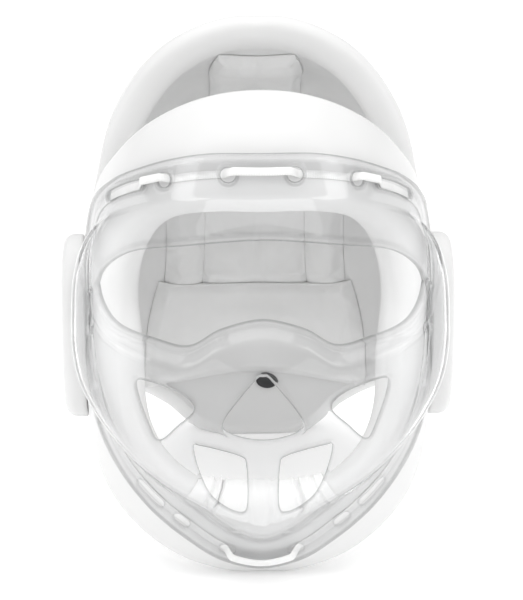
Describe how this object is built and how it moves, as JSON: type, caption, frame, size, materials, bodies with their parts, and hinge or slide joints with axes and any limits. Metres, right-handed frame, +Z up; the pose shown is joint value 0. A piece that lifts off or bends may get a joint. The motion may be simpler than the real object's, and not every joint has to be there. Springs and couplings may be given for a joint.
{
  "type": "head guard",
  "caption": "Padded foam head guard with ear pads, an open crown, and a clear laced-on face shield with an eye slot and breathing vents.",
  "frame": {"origin": "on the floor under the middle of the bounding box", "axes": "+Z up, the face looks along -Y, +X is the wearer's left"},
  "size_m": [0.2406, 0.2863, 0.3022],
  "materials": {
    "foam_skin": "white smooth-skinned foam, satin",
    "clear_shield": "clear moulded polycarbonate, glossy",
    "lace": "white flat woven lace",
    "soft_lining": "white stretch lining, matt",
    "label": "dark woven label, bare"
  },
  "bodies": {
    "root": {"face_frame": "foam_skin", "rear_shell": "foam_skin", "ear_pad_left": "foam_skin", "ear_pad_right": "foam_skin", "face_shield": "clear_shield", "lace": "lace", "chin_cover": "soft_lining", "nape_pad": "soft_lining", "rear_pad_left": "soft_lining", "rear_pad_centre": "soft_lining", "rear_pad_right": "soft_lining", "nape_label": "label"}
  },
  "joints": []
}
